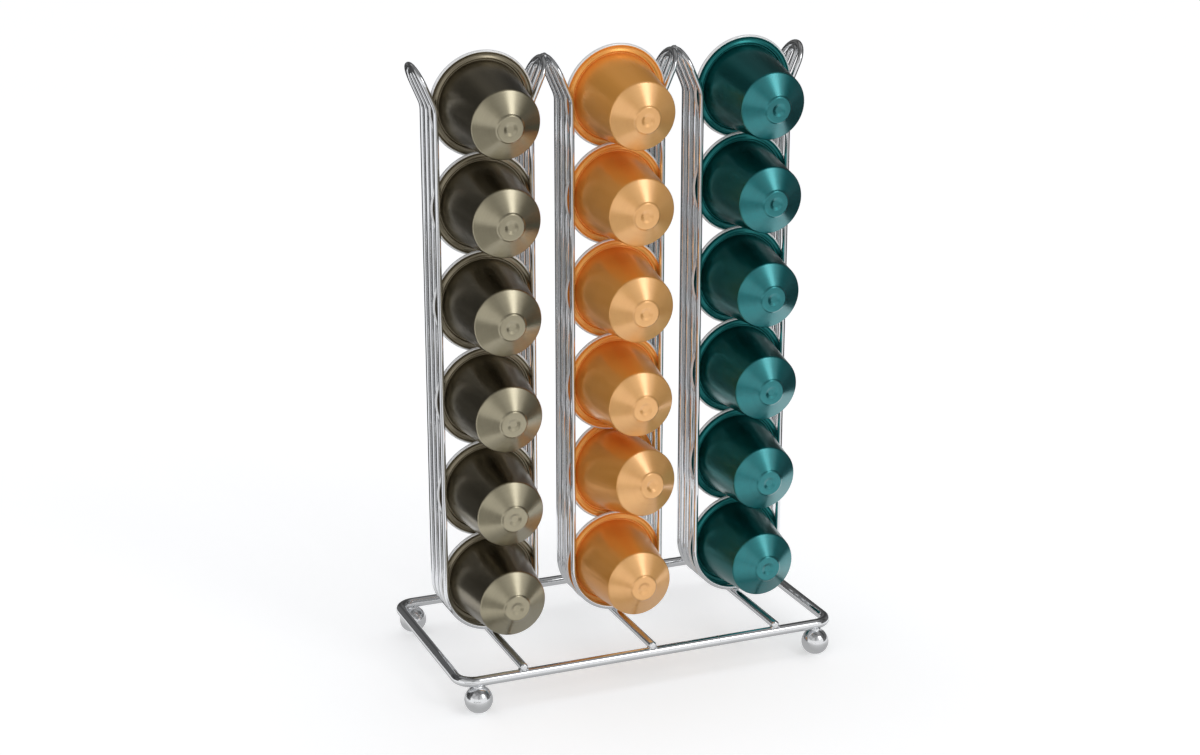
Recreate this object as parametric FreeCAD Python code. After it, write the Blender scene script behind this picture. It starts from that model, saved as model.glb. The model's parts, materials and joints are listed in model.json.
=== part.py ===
import FreeCAD, Part
import math
import os

# Countertop stand for coffee capsules: three columns of bent wire, welded to a
# rectangular wire base with ball feet, each column holding a pile of six capsules.
# Millimetres and degrees. +Z is up, the capsules point to -Y, and the origin is on
# the standing plane under the middle of the base.

V = FreeCAD.Vector
PARTS = "parts"

# Driving dimensions of one capsule; depths are counted forward from the rim's middle plane
RIM_RADIUS = 18.5
RIM_THICKNESS = 0.9
RIM_CHAMFER = 0.25
RIM_BAND = 0.9
FLANGE_SETBACK = 0.3
LID_THICKNESS = 0.3
FLANGE_WIDTH = 3.5
BEAD_INSET = 2.2
BEAD_WIDTH = 1.0
BEAD_HEIGHT = 0.5
WALL_TAPER = 3.1
SHOULDER_DEPTH = 23.7
NOSE_RADIUS = 4.5
NOSE_DEPTH = 28.4
NOSE_LIP = 0.8
DISH_RADIUS = 2.2
DISH_DEPTH = 0.6

# Driving dimensions of the wire stand
COLUMN_NAMES = ("left", "centre", "right")
COLUMN_PITCH = 48.1
WIRE_DIAMETER = 1.9
MIDDLE_GAP_PITCH = 4.6
FLARE_HEIGHT = 14.4
FLARE_BEND_RADIUS = 8.0
FLARE_START = 0.8
RACK_SETBACK = 2.4
RAIL_DIAMETER = 3.6
BAR_DIAMETER = 3.0
BAR_OVERHANG = 1.0
BAR_END_RADIUS = 0.9
BASE_DEPTH = 74.4
BASE_END_MARGIN = 22.6
BASE_CORNER_RADIUS = 6.1
BALL_DIAMETER = 9.8
NECK_DIAMETER = 2.6

# How far neighbouring wires sink into each other at a weld
FOOT_WELD = 0.15
BAR_WELD = 0.8
LOOP_WELD = 0.3
TIP_WELD = 0.1

# How the capsules sit
CAPSULES_PER_COLUMN = 6
TILT = 5.0
LOWEST_TILT = 2.5
LOWEST_FORWARD = 0.3
TOP_TILT = 8.0
TOP_FORWARD = 0.4
CROOKED_TILT = -4.1
CROOKED_BACK = 0.1
LEFT_LOWEST_SIDEWAYS = 0.3
CENTRE_LOWEST_SIDEWAYS = -0.4
SLOT_CLEARANCE = 0.27
LEG_CLEARANCE = 0.85
STACK_CLEARANCE = 0.4
RIM_CLEARANCE = 0.2
BAR_CLEARANCE = 0.2
RIM_SAMPLES = 180
SETTLE_STEPS = 40

# Sizes that follow from the capsule
HALF_RIM = RIM_THICKNESS / 2
FLANGE_FRONT = HALF_RIM - FLANGE_SETBACK
FLANGE_REAR = LID_THICKNESS - HALF_RIM
LID_RADIUS = RIM_RADIUS - RIM_BAND
BEAD_RADIUS = RIM_RADIUS - BEAD_INSET
ROOT_RADIUS = RIM_RADIUS - FLANGE_WIDTH
SHOULDER_RADIUS = ROOT_RADIUS - WALL_TAPER

# Places across the stand: a wire leg, the front slot and the four rows of wire
WIRE_RADIUS = WIRE_DIAMETER / 2
LEG_OFFSET = ROOT_RADIUS + LEG_CLEARANCE + WIRE_RADIUS
RIM_HEIGHT_AT_LEG = math.sqrt(RIM_RADIUS ** 2 - LEG_OFFSET ** 2)
RIM_LEAN_AT_LEG = RIM_HEIGHT_AT_LEG * math.sin(math.radians(TILT))
SLOT_PITCH = WIRE_DIAMETER + RIM_THICKNESS + 2 * RIM_LEAN_AT_LEG + 2 * SLOT_CLEARANCE
INNER_ROW = MIDDLE_GAP_PITCH / 2
OUTER_ROW = INNER_ROW + SLOT_PITCH
SLOT_Y = RACK_SETBACK - (INNER_ROW + OUTER_ROW) / 2

# A crooked capsule has its left edge in the front slot and its right edge in the middle gap
CROOKED_STEP = OUTER_ROW / 2 + INNER_ROW / 2
CROOKED_YAW = math.degrees(math.atan2(CROOKED_STEP, 2 * LEG_OFFSET))

# Heights of the stand, from the floor up
BALL_RADIUS = BALL_DIAMETER / 2
RAIL_RADIUS = RAIL_DIAMETER / 2
BAR_RADIUS = BAR_DIAMETER / 2
RAIL_Z = BALL_DIAMETER + RAIL_RADIUS - FOOT_WELD
BAR_Z = RAIL_Z + RAIL_RADIUS + BAR_RADIUS - BAR_WELD
BAR_TOP = BAR_Z + BAR_RADIUS
CRADLE_Z = BAR_TOP + WIRE_RADIUS - LOOP_WELD + LEG_OFFSET

# The base and the flare of the loops, which meet between the columns
BASE_HALF_X = COLUMN_PITCH * (len(COLUMN_NAMES) - 1) / 2 + BASE_END_MARGIN
BASE_HALF_Y = BASE_DEPTH / 2
FLARE_OUT = (COLUMN_PITCH + TIP_WELD) / 2 - WIRE_RADIUS - LEG_OFFSET
FLARE_ANGLE = math.atan2(FLARE_OUT, FLARE_HEIGHT)
FLARE_LENGTH = math.hypot(FLARE_OUT, FLARE_HEIGHT)


def column_x(column):
    """Sideways place of a column's middle."""
    middle = (len(COLUMN_NAMES) - 1) / 2
    return (COLUMN_NAMES.index(column) - middle) * COLUMN_PITCH


# Bent wire

def line(start, end):
    return Part.LineSegment(start, end).toShape()


def arc(start, middle, end):
    return Part.Arc(start, middle, end).toShape()


def rod(path, radius):
    """Round wire along a chain of tangent lines and arcs, as one solid."""
    lengths = []
    for edge in path:
        start = edge.valueAt(edge.FirstParameter)
        direction = edge.tangentAt(edge.FirstParameter)
        if edge.Curve.TypeId == "Part::GeomCircle":
            centre = edge.Curve.Center
            axis = (start - centre).cross(direction)
            turn = math.degrees(edge.LastParameter - edge.FirstParameter)
            section = Part.Face(Part.Wire([Part.makeCircle(radius, start, direction)]))
            lengths.append(section.revolve(centre, axis, turn))
        else:
            lengths.append(Part.makeCylinder(radius, edge.Length, start, direction))
    return lengths[0].multiFuse(lengths[1:]).Solids[0]


def cradle(x, y, side, leg_top):
    """One leg down, the round bottom, and the other leg up, starting on the given side."""
    high_start = V(x + side * LEG_OFFSET, y, leg_top)
    low_start = V(x + side * LEG_OFFSET, y, CRADLE_Z)
    bottom = V(x, y, CRADLE_Z - LEG_OFFSET)
    low_end = V(x - side * LEG_OFFSET, y, CRADLE_Z)
    high_end = V(x - side * LEG_OFFSET, y, leg_top)
    return [line(high_start, low_start), arc(low_start, bottom, low_end), line(low_end, high_end)]


def hairpin(x, side, y_start, y_end, flare_z, reach):
    """From a leg's top outward along the flare, over the tip and back to the other leg's top."""
    tangent = FLARE_BEND_RADIUS * math.tan(FLARE_ANGLE / 2)
    outward = V(side * math.sin(FLARE_ANGLE), 0, math.cos(FLARE_ANGLE))
    half_width = abs(y_end - y_start) / 2

    def flared(y):
        corner = V(x + side * LEG_OFFSET, y, flare_z)
        leg_top = corner - V(0, 0, tangent)
        bend_end = corner + outward * tangent
        bend_centre = leg_top + V(side * FLARE_BEND_RADIUS, 0, 0)
        to_corner = corner - bend_centre
        bend_middle = bend_centre + to_corner * (FLARE_BEND_RADIUS / to_corner.Length)
        return leg_top, bend_middle, bend_end, corner + outward * (reach - half_width)

    top_1, middle_1, end_1, turn_1 = flared(y_start)
    top_2, middle_2, end_2, turn_2 = flared(y_end)
    tip = V(x + side * LEG_OFFSET, (y_start + y_end) / 2, flare_z) + outward * reach
    return [
        arc(top_1, middle_1, end_1),
        line(end_1, turn_1),
        arc(turn_1, tip, turn_2),
        line(turn_2, end_2),
        arc(end_2, middle_2, top_2),
    ]


def wire_loop(x, row, reach, flare_z):
    """Closed loop: front cradle, hairpin over each side, rear cradle."""
    front = RACK_SETBACK - row
    rear = RACK_SETBACK + row
    leg_top = flare_z - FLARE_BEND_RADIUS * math.tan(FLARE_ANGLE / 2)
    path = cradle(x, front, 1, leg_top)
    path += hairpin(x, -1, front, rear, flare_z, reach)
    path += cradle(x, rear, -1, leg_top)
    path += hairpin(x, 1, rear, front, flare_z, reach)
    return rod(path, WIRE_RADIUS)


def base_ring():
    """Rectangle of thick wire with round corners."""
    x = BASE_HALF_X
    y = BASE_HALF_Y
    r = BASE_CORNER_RADIUS
    cut = r * (1 - math.sqrt(0.5))
    path = []
    corners = ((1, -1), (1, 1), (-1, 1), (-1, -1))
    for index, (sx, sy) in enumerate(corners):
        next_x, next_y = corners[(index + 1) % len(corners)]
        before = V(sx * (x - r), sy * y, RAIL_Z)
        after = V(sx * x, sy * (y - r), RAIL_Z)
        if sx == sy:
            before, after = after, before
        middle = V(sx * (x - cut), sy * (y - cut), RAIL_Z)
        if next_x == sx:
            far = V(sx * x, next_y * (y - r), RAIL_Z)
        else:
            far = V(next_x * (x - r), sy * y, RAIL_Z)
        path.append(arc(before, middle, after))
        path.append(line(after, far))
    return rod(path, RAIL_RADIUS)


def cross_bar(x):
    """Thick rod lying across the rails, its ends rounded over."""
    reach = BASE_HALF_Y + BAR_OVERHANG
    bar = Part.makeCylinder(BAR_RADIUS, 2 * reach, V(x, -reach, BAR_Z), V(0, 1, 0))
    ends = [edge for edge in bar.Edges if abs(abs(edge.CenterOfMass.y) - reach) < 0.01]
    return bar.makeFillet(BAR_END_RADIUS, ends)


def ball_foot(x, y):
    """Ball with a short weld neck that reaches into the rail above."""
    ball = Part.makeSphere(BALL_RADIUS, V(x, y, BALL_RADIUS))
    neck_top = RAIL_Z - RAIL_RADIUS + FOOT_WELD
    neck = Part.makeCylinder(NECK_DIAMETER / 2, neck_top - BALL_RADIUS, V(x, y, BALL_RADIUS))
    return ball.fuse(neck).Solids[0]


# Capsules

def turned(outline):
    """Solid of revolution about the capsule's axis from (radius, depth) corners."""
    corners = [V(radius, -depth, 0) for radius, depth in outline]
    face = Part.Face(Part.makePolygon(corners + corners[:1]))
    return face.revolve(V(0, 0, 0), V(0, 1, 0), 360)


def capsule_cup():
    """Cup with a rolled rim, a sealing bead, a tapered wall and a dished nose."""
    bead_foot = BEAD_WIDTH / 2
    outline = [
        (0, FLANGE_REAR),
        (LID_RADIUS, FLANGE_REAR),
        (LID_RADIUS, -HALF_RIM),
        (RIM_RADIUS - RIM_CHAMFER, -HALF_RIM),
        (RIM_RADIUS, RIM_CHAMFER - HALF_RIM),
        (RIM_RADIUS, HALF_RIM - RIM_CHAMFER),
        (RIM_RADIUS - RIM_CHAMFER, HALF_RIM),
        (RIM_RADIUS - RIM_BAND, FLANGE_FRONT),
        (BEAD_RADIUS + bead_foot, FLANGE_FRONT),
        (BEAD_RADIUS, FLANGE_FRONT + BEAD_HEIGHT),
        (BEAD_RADIUS - bead_foot, FLANGE_FRONT),
        (ROOT_RADIUS, FLANGE_FRONT),
        (SHOULDER_RADIUS, SHOULDER_DEPTH),
        (NOSE_RADIUS, NOSE_DEPTH),
        (NOSE_RADIUS - NOSE_LIP, NOSE_DEPTH),
        (DISH_RADIUS, NOSE_DEPTH - DISH_DEPTH),
        (0, NOSE_DEPTH - DISH_DEPTH),
    ]
    return turned(outline)


def capsule_lid():
    """Foil disc sealed into the back of the rim."""
    return turned([(0, -HALF_RIM), (LID_RADIUS, -HALF_RIM), (LID_RADIUS, FLANGE_REAR), (0, FLANGE_REAR)])


def capsule_pose(column, level, z):
    """Place of a capsule whose rim centre is at height z; level 1 is the lowest."""
    x = column_x(column)
    y = SLOT_Y
    tilt = TILT
    yaw = 0.0
    if level == 1:
        tilt = LOWEST_TILT
        y = SLOT_Y - LOWEST_FORWARD
        if column == "left":
            x += LEFT_LOWEST_SIDEWAYS
        if column == "centre":
            x += CENTRE_LOWEST_SIDEWAYS
    elif level == CAPSULES_PER_COLUMN:
        tilt = TOP_TILT
        y = SLOT_Y - TOP_FORWARD
    elif column == "centre" and level == 2:
        tilt = CROOKED_TILT
        yaw = CROOKED_YAW
        y = SLOT_Y + CROOKED_STEP / 2 + CROOKED_BACK
    lean = FreeCAD.Rotation(V(1, 0, 0), tilt)
    return FreeCAD.Placement(V(x, y, z), FreeCAD.Rotation(V(0, 0, 1), yaw).multiply(lean))


def outer_radius(depth):
    """Outer radius of a capsule's rim or tapered wall at a depth."""
    if depth < HALF_RIM + RIM_CLEARANCE:
        return RIM_RADIUS
    taper = (ROOT_RADIUS - SHOULDER_RADIUS) / (SHOULDER_DEPTH - FLANGE_FRONT)
    return ROOT_RADIUS - taper * (depth - FLANGE_FRONT)


def rim_gap(rim_pose, other_pose):
    """Least gap between one capsule's rim edges and the other's rim and wall."""
    into_other = other_pose.inverse()
    gaps = []
    for sample in range(RIM_SAMPLES):
        angle = 2 * math.pi * sample / RIM_SAMPLES
        for face in (-HALF_RIM, HALF_RIM):
            edge = V(RIM_RADIUS * math.cos(angle), face, RIM_RADIUS * math.sin(angle))
            point = into_other.multVec(rim_pose.multVec(edge))
            depth = -point.y
            if -HALF_RIM - RIM_CLEARANCE < depth < SHOULDER_DEPTH:
                gaps.append(math.hypot(point.x, point.z) - outer_radius(depth))
    return min(gaps, default=RIM_RADIUS)


def settle(column, level, below):
    """Pose at which a capsule rests on the one below it."""
    low = below.Base.z + RIM_RADIUS
    high = below.Base.z + 3 * RIM_RADIUS
    for _ in range(SETTLE_STEPS):
        z = (low + high) / 2
        pose = capsule_pose(column, level, z)
        gap = min(rim_gap(below, pose), rim_gap(pose, below))
        if gap < STACK_CLEARANCE:
            low = z
        else:
            high = z
    return capsule_pose(column, level, high)


def pile(column):
    """Poses of a column's capsules, from the cross bar up."""
    lean = math.radians(LOWEST_TILT)
    reach_down = RIM_RADIUS * math.cos(lean) + HALF_RIM * math.sin(lean)
    poses = [capsule_pose(column, 1, BAR_TOP + BAR_CLEARANCE + reach_down)]
    for level in range(2, CAPSULES_PER_COLUMN + 1):
        poses.append(settle(column, level, poses[-1]))
    return poses


def placed(shape, pose):
    copy = shape.copy()
    copy.Placement = pose
    return copy


def build():
    """Every piece by its name."""
    pieces = {"base_ring": base_ring()}
    foot_x = BASE_HALF_X - BASE_CORNER_RADIUS
    for row, y in (("front", -BASE_HALF_Y), ("rear", BASE_HALF_Y)):
        for side, x in (("left", -foot_x), ("right", foot_x)):
            pieces[f"foot_{row}_{side}"] = ball_foot(x, y)
    cup = capsule_cup()
    lid = capsule_lid()
    piles = {column: pile(column) for column in COLUMN_NAMES}
    flare_z = piles["left"][-1].Base.z - FLARE_START
    for column in COLUMN_NAMES:
        x = column_x(column)
        pieces[f"cross_bar_{column}"] = cross_bar(x)
        pieces[f"outer_loop_{column}"] = wire_loop(x, OUTER_ROW, FLARE_LENGTH, flare_z)
        inner_reach = FLARE_LENGTH - WIRE_DIAMETER + TIP_WELD
        pieces[f"inner_loop_{column}"] = wire_loop(x, INNER_ROW, inner_reach, flare_z)
        for level, pose in enumerate(piles[column], 1):
            pieces[f"cup_{column}_{level}"] = placed(cup, pose)
            pieces[f"lid_{column}_{level}"] = placed(lid, pose)
    return pieces


def main():
    os.makedirs(PARTS, exist_ok=True)
    for name, shape in build().items():
        if not shape.isValid():
            raise ValueError(f"{name} is not a valid solid")
        shape.exportStep(os.path.join(PARTS, f"{name}.step"))
        print(f"{name} {shape.Volume:.0f} mm3")


main()
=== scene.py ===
import json
import math

import bmesh
import bpy
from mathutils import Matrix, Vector, noise


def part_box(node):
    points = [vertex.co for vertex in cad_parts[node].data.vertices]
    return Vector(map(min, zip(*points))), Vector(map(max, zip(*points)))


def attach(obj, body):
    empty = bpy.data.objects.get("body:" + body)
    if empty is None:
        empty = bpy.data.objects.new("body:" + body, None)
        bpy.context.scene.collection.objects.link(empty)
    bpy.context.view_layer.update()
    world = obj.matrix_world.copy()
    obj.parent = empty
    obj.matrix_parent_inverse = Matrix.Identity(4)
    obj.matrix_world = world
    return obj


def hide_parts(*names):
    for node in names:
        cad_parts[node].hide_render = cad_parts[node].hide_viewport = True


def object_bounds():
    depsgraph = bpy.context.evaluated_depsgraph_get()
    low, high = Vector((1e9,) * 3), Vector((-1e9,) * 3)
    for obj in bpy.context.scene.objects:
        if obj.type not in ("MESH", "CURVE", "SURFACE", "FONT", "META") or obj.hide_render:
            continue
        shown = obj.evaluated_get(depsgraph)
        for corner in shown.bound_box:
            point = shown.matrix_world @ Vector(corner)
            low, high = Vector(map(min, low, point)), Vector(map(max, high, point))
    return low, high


# Looks of a wire stand that holds three piles of coffee capsules: turned aluminium cups with
# rolled rims and foil lids, polished chrome wire with small welds, and a white photo studio.

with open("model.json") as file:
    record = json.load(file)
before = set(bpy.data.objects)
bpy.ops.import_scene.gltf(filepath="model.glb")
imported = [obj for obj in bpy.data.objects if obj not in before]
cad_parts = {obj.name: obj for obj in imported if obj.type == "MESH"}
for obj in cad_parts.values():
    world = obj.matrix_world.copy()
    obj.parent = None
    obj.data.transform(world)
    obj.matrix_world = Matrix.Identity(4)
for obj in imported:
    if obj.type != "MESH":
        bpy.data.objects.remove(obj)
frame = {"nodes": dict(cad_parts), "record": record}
cad_low, cad_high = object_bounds()

MM = 0.001
MIDDLE = Vector((0, 0, (cad_low.z + cad_high.z) / 2))
COLUMNS = ("left", "centre", "right")
ROWS = ("front", "rear")
LEVELS = range(1, 7)
WHITE = (1, 1, 1, 1)

# Rim of a cup, in millimetres, depths counted forward from the rim's middle plane
RIM_RADIUS = 18.46
RIM_THICKNESS = 0.9
RIM_BAND = 0.9
RIM_FRONT_ROLL = 0.6
RIM_REAR_ROLL = 0.28
RIM_SLOPE = 0.3
BARE_WIDTH = 0.62
SEAT_WIDTH = 0.5
SEAT_FILLET = 0.1

# Flange with its seal ring and the groove round the wall's root
FLANGE_DEPTH = 0.15
FLANGE_FILLET = 0.3
SEAL_OUTER_RADIUS = 16.6
SEAL_OUTER_FILLET = 0.8
SEAL_INNER_RADIUS = 15.65
SEAL_INNER_FILLET = 0.35
SEAL_HEIGHT = 0.55
ROOT_RADIUS = 15.0
ROOT_FILLET = 0.15
ROOT_FLARE = 0.03
GROOVE_WIDTH = 0.35
GROOVE_DEPTH = 0.2
GROOVE_FILLET = 0.08

# Wall, nose cone and the button at its end
SHOULDER_RADIUS = 11.9
SHOULDER_DEPTH = 23.7
SHOULDER_FILLET = 0.95
CONE_END_RADIUS = 5.0
CONE_END_DEPTH = 27.8
CONE_END_FILLET = 0.3
BUTTON_RADIUS = 4.4
BUTTON_DEPTH = 28.4
BUTTON_FILLET = 0.95
DISH_RADIUS = 2.4
DISH_FLOOR_RADIUS = 1.2
DISH_DEPTH = 0.5
DISH_FILLET = 1.1

# Foil lid: its crown, the ring pressed into it where it is sealed, and its edge
LID_RADIUS = 17.6
LID_THICKNESS = 0.3
LID_GAP = 0.02
LID_CROWN = 0.22
CROWN_SHARE_AT_HALF = 0.8
CROWN_FILLET = 8.0
PRESS_START_RADIUS = 14.7
PRESS_START_FILLET = 1.0
PRESS_INNER_RADIUS = 15.5
PRESS_OUTER_RADIUS = 16.5
PRESS_DEPTH = 0.2
PRESS_FILLET = 0.4
LID_EDGE_WIDTH = 0.4
LID_EDGE_DEPTH = 0.03
LID_EDGE_FILLET = 0.3
LID_CORNER_DEPTH = 0.08
LID_CORNER_FILLET = 0.05

# Fineness of the turned meshes
TURNED_SEGMENTS = 128
FILLET_STEPS = 5

# A face of a lid's solid is a rear one where its normal's part towards the rear is over this
REARWARD = 0.9

# Lacquered aluminium; the wall and the nose differ, and the change lies at the shoulder
TURNING_LINES_PER_MM = 9.0
TURNING_LINES_PER_TURN = 3.0
NOSE_FADE_BEHIND = 0.6
NOSE_FADE_AHEAD = 0.3
WALL_ROUGHNESS = 0.30
NOSE_ROUGHNESS = 0.31
ROUGHNESS_GRAIN = 0.06
WALL_COAT = 0.3
NOSE_COAT = 1.0
WALL_LINE_STRENGTH = 0.025
NOSE_LINE_STRENGTH = 0.07
# Painted shade: each lacquer's wall colour is a darker copy of its nose colour
LACQUERS = {
    "left": {
        "name": "bronze_cup",
        "colour": (0.35, 0.31, 0.20, 1),
        "shade": (0.29, 0.255, 0.16, 1),
        "shaded_wall_colour": (0.22, 0.19, 0.13, 1),
        "metal": 1.0,
        "coat_index": 1.7,
    },
    "centre": {
        "name": "amber_cup",
        "colour": (0.95, 0.50, 0.15, 1),
        "shade": (0.88, 0.43, 0.12, 1),
        "shaded_wall_colour": (0.95, 0.41, 0.07, 1),
        "metal": 0.45,
        "coat_index": 1.75,
    },
    "right": {
        "name": "teal_cup",
        "colour": (0.004, 0.22, 0.235, 1),
        "shade": (0.003, 0.17, 0.185, 1),
        "shaded_wall_colour": (0.003, 0.15, 0.15, 1),
        "metal": 0.9,
        "coat_index": 1.5,
    },
}

# Welds, in millimetres; a bead has a width, a depth and a height
TIP_BEAD = (2.8, 3.4, 2.8)
CROSSING_BEAD = (2.8, 2.2, 0.9)
BAR_BEAD = (1.2, 2.4, 1.0)
BAR_BEAD_REACH = 0.85
BEAD_SINK = 0.1
BEAD_SUBDIVISIONS = 4
NECK_BEAD_RADIUS = 1.3
NECK_BEAD_THICKNESS = 1.2
WIRE_DIAMETER = 1.9
SEAM_X = 25.6
SEAM_WIDTH = 0.3
SEAM_HEIGHT = 0.08
RING_SEGMENTS = 48
RING_SECTION_SEGMENTS = 16

# Lumps of weld metal: how far they stand out, how fine they are, and what sets one weld's
# lumps apart from the next one's, by its column and its place in metres
BEAD_LUMPINESS = 0.22
BEAD_FINENESS = 2.2
BEAD_SEED_STEP = 7.3
RING_LUMPINESS = 0.44
RING_FINENESS = 2.0
RING_SEED_STEP = 5.1
SEEDS_PER_METRE = 90
CROSSING_SEEDS_PER_METRE = 900

# Camera, in millimetres and degrees
CAMERA_PLACE = (-277.4, -665.5, 319.6)
CAMERA_AZIMUTH = -22.29
CAMERA_ELEVATION = 16.81
CAMERA_LENS = 63.68

# Studio, in metres and degrees
FLOOR_RADIUS = 6.0
FLOOR_DROP = 0.00005
FLOOR_GLOW = 0.335
AMBIENT_COLOUR = (0.97, 0.98, 1.0, 1)
AMBIENT_STRENGTH = 0.75
CARD_DISTANCE = 1.6
CARD_NEAR = 0.25
CARD_NEAR_REAR = 0.15
CARD_LIFT = 0.0005
CARD_STEP = 4
WALL_STEPS = 4
CLOUD_SPREAD = 0.45
# Painted shade under the base, seen only in reflections: how far it fades to white, and its grey
UNDER_FADE = 0.03
UNDER_SHADE_GREY = 0.5


# Meshes

def rounded(corners):
    """Outline through (radius, depth, fillet) corners, with each corner rounded by its fillet."""
    points = []
    for index, (radius, depth, fillet) in enumerate(corners):
        corner = Vector((radius, depth))
        if fillet == 0 or index in (0, len(corners) - 1):
            points.append(corner)
            continue
        before = (Vector(corners[index - 1][:2]) - corner).normalized()
        after = (Vector(corners[index + 1][:2]) - corner).normalized()
        half = before.angle(after) / 2
        middle = corner + (before + after).normalized() * (fillet / math.sin(half))
        start = corner + before * (fillet / math.tan(half))
        end = corner + after * (fillet / math.tan(half))
        for step in range(FILLET_STEPS + 1):
            chord = start.lerp(end, step / FILLET_STEPS)
            points.append(middle + (chord - middle).normalized() * fillet)
    return points


def plain_data(name, mesh):
    """Mesh data from an edited mesh, which is freed."""
    data = bpy.data.meshes.new(name)
    mesh.to_mesh(data)
    mesh.free()
    return data


def smooth_data(name, mesh):
    """Mesh data with smooth faces that look outward, from an edited mesh, which is freed."""
    bmesh.ops.recalc_face_normals(mesh, faces=mesh.faces)
    for face in mesh.faces:
        face.smooth = True
    return plain_data(name, mesh)


def add_object(name, data):
    """New object in the scene."""
    thing = bpy.data.objects.new(name, data)
    bpy.context.scene.collection.objects.link(thing)
    return thing


def turned(name, outline):
    """Mesh turned about local Z from (radius, depth) points in millimetres."""
    mesh = bmesh.new()
    rings = []
    for radius, depth in outline:
        if radius == 0:
            rings.append([mesh.verts.new((0, 0, depth * MM))])
            continue
        ring = []
        for step in range(TURNED_SEGMENTS):
            angle = 2 * math.pi * step / TURNED_SEGMENTS
            place = (radius * math.cos(angle) * MM, radius * math.sin(angle) * MM, depth * MM)
            ring.append(mesh.verts.new(place))
        rings.append(ring)
    for ring, following in zip(rings, rings[1:]):
        for step in range(TURNED_SEGMENTS):
            beside = (step + 1) % TURNED_SEGMENTS
            if len(ring) == 1:
                face = (ring[0], following[step], following[beside])
            elif len(following) == 1:
                face = (ring[step], following[0], ring[beside])
            else:
                face = (ring[step], following[step], following[beside], ring[beside])
            mesh.faces.new(face)
    return smooth_data(name, mesh)


def cup_outline():
    """From the lid's seat round the rolled rim, over the flange, wall and cone, into the dish."""
    front = RIM_THICKNESS / 2
    rear = -front
    seat = rear + LID_THICKNESS
    band = RIM_RADIUS - RIM_BAND
    groove = FLANGE_DEPTH - GROOVE_DEPTH
    dish_floor = BUTTON_DEPTH - DISH_DEPTH
    return rounded([
        (LID_RADIUS - SEAT_WIDTH, seat, 0),
        (LID_RADIUS, seat, 0),
        (LID_RADIUS, rear, SEAT_FILLET),
        (RIM_RADIUS, rear, RIM_REAR_ROLL),
        (RIM_RADIUS, front, RIM_FRONT_ROLL),
        (band, front, FLANGE_FILLET),
        (band - RIM_SLOPE, FLANGE_DEPTH, FLANGE_FILLET),
        (SEAL_OUTER_RADIUS, FLANGE_DEPTH, SEAL_OUTER_FILLET),
        (SEAL_INNER_RADIUS, FLANGE_DEPTH + SEAL_HEIGHT, SEAL_INNER_FILLET),
        (ROOT_RADIUS + GROOVE_WIDTH, groove, GROOVE_FILLET),
        (ROOT_RADIUS + ROOT_FLARE, groove, ROOT_FILLET),
        (SHOULDER_RADIUS, SHOULDER_DEPTH, SHOULDER_FILLET),
        (CONE_END_RADIUS, CONE_END_DEPTH, CONE_END_FILLET),
        (BUTTON_RADIUS, BUTTON_DEPTH, BUTTON_FILLET),
        (DISH_RADIUS, BUTTON_DEPTH, DISH_FILLET),
        (DISH_FLOOR_RADIUS, dish_floor, DISH_FILLET),
        (0, dish_floor, 0),
    ])


def lid_outline():
    """Foil disc: slightly crowned to the rear, with a pressed ring where it is sealed."""
    rear = -RIM_THICKNESS / 2
    front = rear + LID_THICKNESS
    edge = LID_RADIUS - LID_GAP
    return rounded([
        (0, rear - LID_CROWN, 0),
        (LID_RADIUS / 2, rear - LID_CROWN * CROWN_SHARE_AT_HALF, CROWN_FILLET),
        (PRESS_START_RADIUS, rear, PRESS_START_FILLET),
        (PRESS_INNER_RADIUS, rear + PRESS_DEPTH, PRESS_FILLET),
        (PRESS_OUTER_RADIUS, rear + PRESS_DEPTH, PRESS_FILLET),
        (LID_RADIUS - LID_EDGE_WIDTH, rear + LID_EDGE_DEPTH, LID_EDGE_FILLET),
        (edge, rear + LID_CORNER_DEPTH, LID_CORNER_FILLET),
        (edge, front, 0),
        (0, front, 0),
    ])


# Materials

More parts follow.
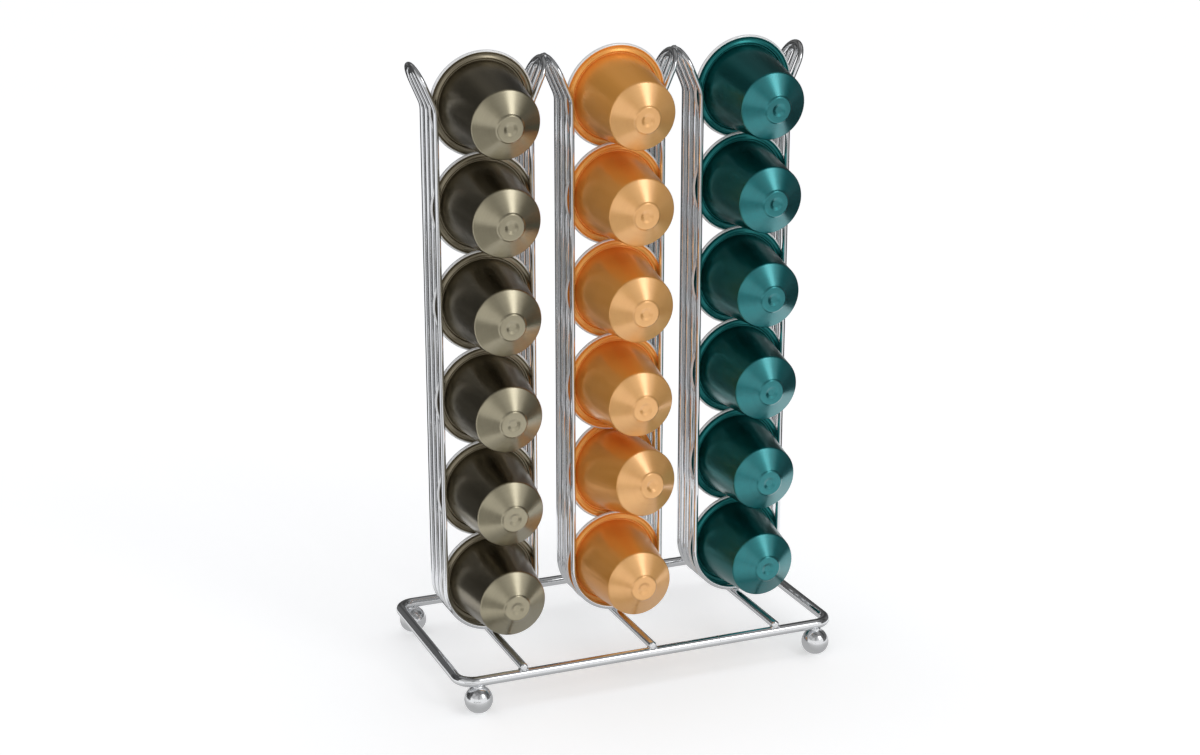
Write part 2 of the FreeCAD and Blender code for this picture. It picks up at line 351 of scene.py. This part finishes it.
class Graph:
    """Short way to write the nodes of a material or of the world."""

    def __init__(self, tree):
        self.tree = tree

    def add(self, kind, settings=None, **inputs):
        """New node with its settings; an input's name has _ where the socket's has a space."""
        node = self.tree.nodes.new(kind)
        for key, value in (settings or {}).items():
            setattr(node, key, value)
        for key, value in inputs.items():
            self.feed(node.inputs[key.replace("_", " ")], value)
        return node

    def feed(self, socket, value):
        """Links a socket to another, or gives it a plain value."""
        if isinstance(value, bpy.types.NodeSocket):
            self.tree.links.new(value, socket)
        else:
            socket.default_value = value

    def maths(self, operation, first, second=0.0):
        node = self.add("ShaderNodeMath", {"operation": operation})
        self.feed(node.inputs[0], first)
        self.feed(node.inputs[1], second)
        return node.outputs[0]

    def length(self, first, second):
        """Distance from its two parts at right angles to each other."""
        squares = [self.maths("MULTIPLY", side, side) for side in (first, second)]
        return self.maths("SQRT", self.maths("ADD", *squares))

    def ramp(self, value, low, high, start=0.0, end=1.0):
        """Maps start to end onto low to high, and stays at low and high outside of them."""
        node = self.add(
            "ShaderNodeMapRange",
            Value=value,
            From_Min=start,
            From_Max=end,
            To_Min=low,
            To_Max=high,
        )
        return node.outputs[0]

    def mix(self, factor, first, second):
        """Blend of two colours, whose sockets the mix node keeps at 6 and 7, and its output at 2."""
        node = self.add("ShaderNodeMix", {"data_type": "RGBA"})
        self.feed(node.inputs[0], factor)
        self.feed(node.inputs[6], first)
        self.feed(node.inputs[7], second)
        return node.outputs[2]

    def position(self):
        """Place on the object, in its own axes."""
        return self.add("ShaderNodeTexCoord").outputs["Object"]

    def cloud(self, place, scale, detail):
        """Soft noise at a place."""
        return self.add("ShaderNodeTexNoise", Vector=place, Scale=scale, Detail=detail).outputs[0]

    def bump(self, height, strength, distance):
        node = self.add("ShaderNodeBump", Height=height, Strength=strength, Distance=distance)
        return node.outputs[0]

    def seen(self):
        """1 for what is seen, directly, in a reflection or through glass, and 0 for what is lit."""
        path = self.add("ShaderNodeLightPath").outputs
        reflected = self.maths("MAXIMUM", path["Is Camera Ray"], path["Is Glossy Ray"])
        return self.maths("MAXIMUM", reflected, path["Is Transmission Ray"])


class Paint(Graph):
    """Nodes of a new material."""

    def __init__(self, name):
        self.material = bpy.data.materials.new(name)
        self.material.use_nodes = True
        super().__init__(self.material.node_tree)

    def surface(self, **inputs):
        """Sets or links sockets of the material's main shader."""
        shader = self.tree.nodes["Principled BSDF"]
        for key, value in inputs.items():
            self.feed(shader.inputs[key.replace("_", " ")], value)

    def glow(self, strength):
        """Makes the surface glow white, and nothing else."""
        emission = self.add("ShaderNodeEmission", Strength=strength)
        output = self.tree.nodes["Material Output"]
        self.feed(output.inputs["Surface"], emission.outputs[0])


def turned_position(paint):
    """Object position as (distance from the axis, depth, angle) in millimetres and turns."""
    axes = paint.add("ShaderNodeSeparateXYZ", Vector=paint.position()).outputs
    radius = paint.maths("MULTIPLY", paint.length(axes[0], axes[1]), 1 / MM)
    depth = paint.maths("MULTIPLY", axes[2], 1 / MM)
    turn = paint.maths("DIVIDE", paint.maths("ARCTAN2", axes[1], axes[0]), 2 * math.pi)
    return radius, depth, turn


def lacquered(name, colour, shade, shaded_wall_colour, metal, coat_index):
    """Satin lacquer on aluminium: a mottled nose, a wall in a darker copy of its colour as painted
    shade, and fine turning lines.
    """
    paint = Paint(name)
    radius, depth, turn = turned_position(paint)
    lines = paint.add(
        "ShaderNodeCombineXYZ",
        X=paint.maths("MULTIPLY", radius, TURNING_LINES_PER_MM),
        Y=paint.maths("MULTIPLY", depth, TURNING_LINES_PER_MM),
        Z=paint.maths("MULTIPLY", turn, TURNING_LINES_PER_TURN),
    )
    grooves = paint.cloud(lines.outputs[0], scale=1.0, detail=3.0)
    blotches = paint.cloud(paint.position(), scale=140.0, detail=4.0)
    tone = paint.maths("MULTIPLY", paint.maths("ADD", grooves, blotches), 0.5)
    mottled = paint.mix(paint.ramp(tone, 0.0, 1.0, start=0.35, end=0.65), shade, colour)
    fade_start = SHOULDER_DEPTH - NOSE_FADE_BEHIND
    fade_end = SHOULDER_DEPTH + NOSE_FADE_AHEAD
    nose = paint.ramp(depth, 0.0, 1.0, start=fade_start, end=fade_end)
    satin = paint.ramp(nose, WALL_ROUGHNESS, NOSE_ROUGHNESS)
    grain = paint.ramp(grooves, -ROUGHNESS_GRAIN, ROUGHNESS_GRAIN)
    line_strength = paint.ramp(nose, WALL_LINE_STRENGTH, NOSE_LINE_STRENGTH)
    tangent = paint.add("ShaderNodeTangent", {"direction_type": "RADIAL", "axis": "Z"})
    paint.surface(
        # Painted shade: the wall takes the darker wall colour, and the nose the lit colour
        Base_Color=paint.mix(nose, shaded_wall_colour, mottled),
        Metallic=metal,
        Roughness=paint.maths("ADD", satin, grain),
        Anisotropic=0.5,
        Anisotropic_Rotation=0.25,
        Tangent=tangent.outputs[0],
        Coat_Weight=paint.ramp(nose, WALL_COAT, NOSE_COAT),
        Coat_IOR=coat_index,
        Coat_Roughness=0.22,
        Normal=paint.bump(grooves, strength=line_strength, distance=0.02 * MM),
    )
    return paint.material


def bare_aluminium():
    """Bright rolled edge of the rim."""
    paint = Paint("bare_aluminium")
    wear = paint.cloud(paint.position(), scale=420.0, detail=4.0)
    dull = (0.88, 0.88, 0.88, 1)
    bright = (0.94, 0.94, 0.93, 1)
    paint.surface(
        Base_Color=paint.mix(wear, dull, bright),
        Metallic=0.25,
        Roughness=paint.ramp(wear, 0.26, 0.40),
        Normal=paint.bump(wear, strength=0.1, distance=0.03 * MM),
    )
    return paint.material


def foil():
    """Lid foil: silver, with a fine embossed grain and slight waves."""
    paint = Paint("foil_lid")
    place = paint.position()
    grain = paint.add("ShaderNodeTexVoronoi", Vector=place, Scale=1400.0).outputs[0]
    waves = paint.cloud(place, scale=160.0, detail=2.0)
    dull = (0.80, 0.80, 0.79, 1)
    bright = (0.93, 0.93, 0.92, 1)
    height = paint.maths("ADD", paint.maths("MULTIPLY", grain, 0.5), waves)
    paint.surface(
        Base_Color=paint.mix(waves, dull, bright),
        Metallic=0.5,
        Roughness=paint.ramp(waves, 0.28, 0.40),
        Normal=paint.bump(height, strength=0.6, distance=0.12 * MM),
    )
    return paint.material


def chrome(name, smoothest, roughest):
    """Polished chrome plate, with long gentle waves and a faint haze."""
    paint = Paint(name)
    place = paint.position()
    waves = paint.cloud(place, scale=90.0, detail=1.0)
    haze = paint.cloud(place, scale=60.0, detail=5.0)
    dull = (0.70, 0.71, 0.73, 1)
    bright = (0.82, 0.83, 0.84, 1)
    paint.surface(
        Base_Color=paint.mix(haze, dull, bright),
        Metallic=1.0,
        Roughness=paint.ramp(haze, smoothest, roughest),
        Normal=paint.bump(waves, strength=0.1, distance=0.05 * MM),
    )
    return paint.material


# Capsules

def capsule_place(lid):
    """Middle of the rim and the direction to the nose, from the rear face of a lid's solid."""
    rear = [face for face in lid.data.polygons if face.normal.y > REARWARD]
    area = sum(face.area for face in rear)
    centre = sum((face.center * face.area for face in rear), Vector()) / area
    outward = sum((face.normal * face.area for face in rear), Vector()).normalized()
    return centre - outward * (RIM_THICKNESS / 2 * MM), -outward


def bare_rim(data, finish):
    """Gives the rim's outer edge a finish of its own."""
    data.materials.append(finish)
    for face in data.polygons:
        if math.hypot(face.center.x, face.center.y) > (RIM_RADIUS - BARE_WIDTH) * MM:
            face.material_index = 1


def place_turned(name, data, place, node, body):
    """Turned piece that stands for a node, at its capsule's place."""
    centre, nose = place
    piece = add_object(name, data)
    piece.rotation_mode = "QUATERNION"
    piece.rotation_quaternion = nose.to_track_quat("Z", "Y")
    piece.location = centre
    weights = piece.modifiers.new("even_normals", "WEIGHTED_NORMAL")
    weights.keep_sharp = True
    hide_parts(node)
    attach(piece, body)


def make_capsules():
    edge = bare_aluminium()
    lid_data = turned("lid", lid_outline())
    lid_data.materials.append(foil())
    for column in COLUMNS:
        cup_data = turned(f"cup_{column}", cup_outline())
        cup_data.materials.append(lacquered(**LACQUERS[column]))
        bare_rim(cup_data, edge)
        for level in LEVELS:
            mark = f"{column}_{level}"
            place = capsule_place(frame["nodes"][f"lid_{mark}"])
            body = f"capsule_{mark}"
            place_turned(f"turned_cup_{mark}", cup_data, place, f"cup_{mark}", body)
            place_turned(f"crowned_lid_{mark}", lid_data, place, f"lid_{mark}", body)


# Stand

def swell(direction, fineness, seed, amount):
    """Factor near 1 by which weld metal stands out further, or less far, in a direction."""
    return 1 + amount * noise.noise(direction * fineness + Vector((seed, 0, 0)))


def add_bead(mesh, centre, size, seed):
    """Lumpy bead of weld metal; centre in metres, full size in millimetres."""
    made = bmesh.ops.create_icosphere(mesh, subdivisions=BEAD_SUBDIVISIONS, radius=1.0)
    for vertex in made["verts"]:
        point = vertex.co * swell(vertex.co, BEAD_FINENESS, seed * BEAD_SEED_STEP, BEAD_LUMPINESS)
        vertex.co = centre + Vector([point[axis] * size[axis] / 2 * MM for axis in range(3)])


def add_ring(mesh, centre, axis, radius, thickness, seed):
    """Lumpy ring of weld metal round an axis; radius and thicknesses in millimetres.

    The first thickness is the ring's section away from the axis, the second the one along it.
    """
    across = axis.orthogonal().normalized()
    beside = axis.cross(across)
    rings = []
    for step in range(RING_SEGMENTS):
        turn = 2 * math.pi * step / RING_SEGMENTS
        outward = across * math.cos(turn) + beside * math.sin(turn)
        swollen = swell(outward, RING_FINENESS, seed * RING_SEED_STEP, RING_LUMPINESS)
        ring = []
        for part in range(RING_SECTION_SEGMENTS):
            angle = 2 * math.pi * part / RING_SECTION_SEGMENTS
            reach = outward * math.cos(angle) * thickness[0] + axis * math.sin(angle) * thickness[1]
            ring.append(mesh.verts.new(centre + (outward * radius + reach * swollen / 2) * MM))
        rings.append(ring)
    for ring, following in zip(rings, rings[1:] + rings[:1]):
        for part in range(RING_SECTION_SEGMENTS):
            beyond = (part + 1) % RING_SECTION_SEGMENTS
            mesh.faces.new((ring[part], following[part], following[beyond], ring[beyond]))


def weld(name, mesh, finish):
    """Piece of weld metal on the stand."""
    data = smooth_data(name, mesh)
    data.materials.append(finish)
    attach(add_object(name, data), "stand")


def long_rails():
    """Radius and height of the base's front and rear rails, and where each row's lies."""
    low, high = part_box("base_ring")
    radius = (high.z - low.z) / 2
    return radius, low.z + radius, {"front": low.y + radius, "rear": high.y - radius}


def weld_bar(column, index, finish):
    """A bead on each side of a cross bar, where it lies on the rails."""
    rail_radius, rail_z, rails = long_rails()
    low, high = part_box(f"cross_bar_{column}")
    x = (low.x + high.x) / 2
    z = rail_z + rail_radius - BEAD_SINK * MM
    reach = (high.x - low.x) / 2 * BAR_BEAD_REACH
    for row in ROWS:
        mesh = bmesh.new()
        for side in (-1, 1):
            add_bead(mesh, Vector((x + side * reach, rails[row], z)), BAR_BEAD, index + side)
        weld(f"weld_bar_{column}_{row}", mesh, finish)


def weld_loops(column, index, finish):
    """A bead where each wire of a column's loops crosses its bar."""
    bar_low, bar_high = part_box(f"cross_bar_{column}")
    x = (bar_low.x + bar_high.x) / 2
    z = bar_high.z - BEAD_SINK * MM
    wire_radius = WIRE_DIAMETER / 2 * MM
    for loop in ("outer", "inner"):
        low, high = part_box(f"{loop}_loop_{column}")
        for row, y in zip(ROWS, (low.y + wire_radius, high.y - wire_radius)):
            mesh = bmesh.new()
            seed = index + CROSSING_SEEDS_PER_METRE * y
            add_bead(mesh, Vector((x, y, z)), CROSSING_BEAD, seed)
            weld(f"weld_{loop}_{column}_{row}", mesh, finish)


def weld_tips(first, second, finish):
    """A bead between the tops of two neighbouring columns' outer loops."""
    low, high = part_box(f"outer_loop_{first}")
    middle = Vector((high.x, (low.y + high.y) / 2, high.z - WIRE_DIAMETER / 2 * MM))
    mesh = bmesh.new()
    add_bead(mesh, middle, TIP_BEAD, SEEDS_PER_METRE * middle.x)
    weld(f"weld_tips_{first}_{second}", mesh, finish)


def weld_foot(row, side, finish):
    """A ring round a ball's neck, under the base."""
    low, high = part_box(f"foot_{row}_{side}")
    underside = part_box("base_ring")[0].z
    neck = Vector(((low.x + high.x) / 2, (low.y + high.y) / 2, underside))
    thickness = (NECK_BEAD_THICKNESS, NECK_BEAD_THICKNESS)
    upward = Vector((0, 0, 1))
    mesh = bmesh.new()
    add_ring(mesh, neck, upward, NECK_BEAD_RADIUS, thickness, SEEDS_PER_METRE * neck.x)
    weld(f"weld_foot_{row}_{side}", mesh, finish)


def weld_seam(finish):
    """The thin line of a butt weld round the front rail."""
    rail_radius, rail_z, rails = long_rails()
    seam = Vector((SEAM_X * MM, rails["front"], rail_z))
    sideways = Vector((1, 0, 0))
    mesh = bmesh.new()
    add_ring(mesh, seam, sideways, rail_radius / MM, (2 * SEAM_HEIGHT, SEAM_WIDTH), 1)
    weld("weld_seam", mesh, finish)


def make_stand():
    wire_finish = chrome("chrome_wire", smoothest=0.05, roughest=0.12)
    ball_finish = chrome("chrome_ball", smoothest=0.13, roughest=0.2)
    for node in frame["record"]["behaviour"]["bodies"]["stand"]:
        solid = frame["nodes"][node]
        solid.data.materials.clear()
        solid.data.materials.append(ball_finish if node.startswith("foot") else wire_finish)

    weld_finish = chrome("chrome_weld", smoothest=0.10, roughest=0.22)
    for index, column in enumerate(COLUMNS):
        weld_bar(column, index, weld_finish)
        weld_loops(column, index, weld_finish)
    for first, second in zip(COLUMNS, COLUMNS[1:]):
        weld_tips(first, second, weld_finish)
    for row in ROWS:
        for side in ("left", "right"):
            weld_foot(row, side, weld_finish)
    weld_seam(weld_finish)


# Studio

def make_floor():
    """Matt white floor, which looks as white as the backdrop but for the object's shadow."""
    paint = Paint("floor_paint")
    tone = paint.cloud(paint.position(), scale=6.0, detail=2.0)
    paint.surface(
        Base_Color=paint.mix(tone, (0.90, 0.90, 0.90, 1), (0.92, 0.92, 0.92, 1)),
        Roughness=0.9,
        Specular_IOR_Level=0.0,
        Emission_Color=WHITE,
        Emission_Strength=paint.maths("MULTIPLY", paint.seen(), FLOOR_GLOW),
    )
    bpy.ops.mesh.primitive_circle_add(
        vertices=96,
        radius=FLOOR_RADIUS,
        fill_type="NGON",
        location=(0, 0, -FLOOR_DROP),
    )
    floor = bpy.context.object
    floor.name = "floor"
    floor.data.materials.append(paint.material)


def make_world():
    """White where it is seen, and a softer daylight where it lights things."""
    world = bpy.data.worlds.new("studio")
    bpy.context.scene.world = world
    world.use_nodes = True
    world.node_tree.nodes.clear()
    graph = Graph(world.node_tree)
    ambient = graph.add("ShaderNodeBackground", Color=AMBIENT_COLOUR, Strength=AMBIENT_STRENGTH)
    white = graph.add("ShaderNodeBackground", Color=WHITE, Strength=1.0)
    mix = graph.add("ShaderNodeMixShader")
    for socket, value in zip(mix.inputs, (graph.seen(), ambient.outputs[0], white.outputs[0])):
        graph.feed(socket, value)
    graph.add("ShaderNodeOutputWorld", Surface=mix.outputs[0])


def make_softbox(name, azimuth, elevation, distance, width, height, brightness):
    """Rectangular lamp aimed at the object's middle; azimuth 0 is in front, 90 to the right.

    Brightness 1 looks as bright as the white backdrop.
    """
    lamp = bpy.data.lights.new(name, "AREA")
    lamp.shape = "RECTANGLE"
    lamp.size = width
    lamp.size_y = height
    lamp.energy = brightness * math.pi * width * height
    turn = math.radians(azimuth)
    rise = math.radians(elevation)
    level = math.cos(rise)
    out = Vector((math.sin(turn) * level, -math.cos(turn) * level, math.sin(rise)))
    softbox = add_object(name, lamp)
    softbox.location = MIDDLE + out * distance
    softbox.rotation_mode = "QUATERNION"
    softbox.rotation_quaternion = out.to_track_quat("Z", "Y")


def cloudy_glow(name, grey):
    """Glow of a card, with soft clouds of lighter and darker grey."""
    paint = Paint(name)
    cloud = paint.cloud(paint.position(), scale=1.6, detail=0.0)
    darkest = grey * (1 - CLOUD_SPREAD)
    lightest = grey * (1 + CLOUD_SPREAD)
    paint.glow(paint.ramp(cloud, darkest, lightest, start=0.3, end=0.7))
    return paint.material


def place_card(name, data, material):
    """Card that only mirror-like surfaces see."""
    data.materials.append(material)
    card = add_object(name, data)
    card.visible_camera = False
    card.visible_diffuse = False
    card.visible_transmission = False
    card.visible_shadow = False


def make_card(name, azimuths, outline, grey):
    """Grey card swept round the object between two azimuths; 0 is in front, 90 to the right.

    The outline has (radius, height) points in metres.
    """
    mesh = bmesh.new()
    first, last = azimuths
    steps = round((last - first) / CARD_STEP)
    rings = []
    for step in range(steps + 1):
        angle = math.radians(first + (last - first) * step / steps)
        rings.append([
            mesh.verts.new((radius * math.sin(angle), -radius * math.cos(angle), height))
            for radius, height in outline
        ])
    for ring, following in zip(rings, rings[1:]):
        for index in range(len(outline) - 1):
            mesh.faces.new((ring[index], following[index], following[index + 1], ring[index + 1]))
    place_card(name, plain_data(name, mesh), cloudy_glow(name, grey))


def wall(low, high):
    """Upright outline at the cards' distance between two elevations, seen from the middle."""
    points = []
    for step in range(WALL_STEPS + 1):
        rise = math.radians(low + (high - low) * step / WALL_STEPS)
        points.append((CARD_DISTANCE * math.cos(rise), MIDDLE.z + CARD_DISTANCE * math.sin(rise)))
    return points


def ground(near, far=CARD_DISTANCE):
    """Flat outline on the floor between two distances."""
    return [(near, CARD_LIFT), (far, CARD_LIFT)]


def make_under_card():
    """Card under the base, grey as the shade there and fading to white round it."""
    x = cad_high.x + UNDER_FADE
    y = cad_high.y + UNDER_FADE
    z = 2 * CARD_LIFT
    data = bpy.data.meshes.new("under_base_shade")
    data.from_pydata([(-x, -y, z), (x, -y, z), (x, y, z), (-x, y, z)], [], [(0, 1, 2, 3)])
    paint = Paint("under_base_shade")
    axes = paint.add("ShaderNodeSeparateXYZ", Vector=paint.position()).outputs
    outside = []
    for axis, edge in ((0, cad_high.x), (1, cad_high.y)):
        beyond = paint.maths("SUBTRACT", paint.maths("ABSOLUTE", axes[axis]), edge)
        outside.append(paint.maths("MAXIMUM", beyond, 0.0))
    # Painted shade: grey under the base, where the floor lies in the stand's shade, and white beyond
    # the fade
    paint.glow(paint.ramp(paint.length(*outside), UNDER_SHADE_GREY, 1.0, end=UNDER_FADE))
    place_card("under_base_shade", data, paint.material)


def make_cards():
    """Light and dark cards that chrome and lacquer mirror, as in a photo studio."""
    make_card("left_front_table", (-60, -24), ground(0.13, 0.75), 0.3)
    make_card("front_table", (-24, 50), ground(CARD_NEAR), 0.6)
    make_card("right_table", (50, 130), ground(CARD_NEAR), 0.06)
    make_card("rear_table", (150, 205), ground(CARD_NEAR_REAR), 0.08)
    make_card("rear_left_table", (205, 225), ground(CARD_NEAR_REAR), 0.06)
    make_card("left_table", (225, 264), ground(CARD_NEAR_REAR), 0.08)
    make_card("right_wall", (50, 135), wall(-4, 50), 0.12)
    make_card("rear_wall", (135, 225), wall(-4, 50), 0.10)
    make_card("left_wall", (225, 270), wall(-4, 50), 0.08)
    make_card("front_sky", (-90, 12), wall(17, 50), 0.45)
    make_card("right_sky", (12, 50), wall(48, 60), 0.3)
    make_card("ceiling", (0, 360), wall(50, 90), 0.25)
    make_under_card()


def make_camera():
    data = bpy.data.cameras.new("camera")
    data.lens = CAMERA_LENS
    camera = add_object("camera", data)
    camera.location = Vector(CAMERA_PLACE) * MM
    camera.rotation_euler = (math.radians(90 - CAMERA_ELEVATION), 0, math.radians(CAMERA_AZIMUTH))
    bpy.context.scene.camera = camera


def make_studio():
    bpy.context.scene.view_settings.view_transform = "Standard"
    make_floor()
    make_world()
    make_softbox(
        "key_softbox",
        azimuth=27,
        elevation=35,
        distance=1.3,
        width=0.32,
        height=0.5,
        brightness=2.9,
    )
    make_cards()
    make_camera()


make_capsules()
make_stand()
make_studio()
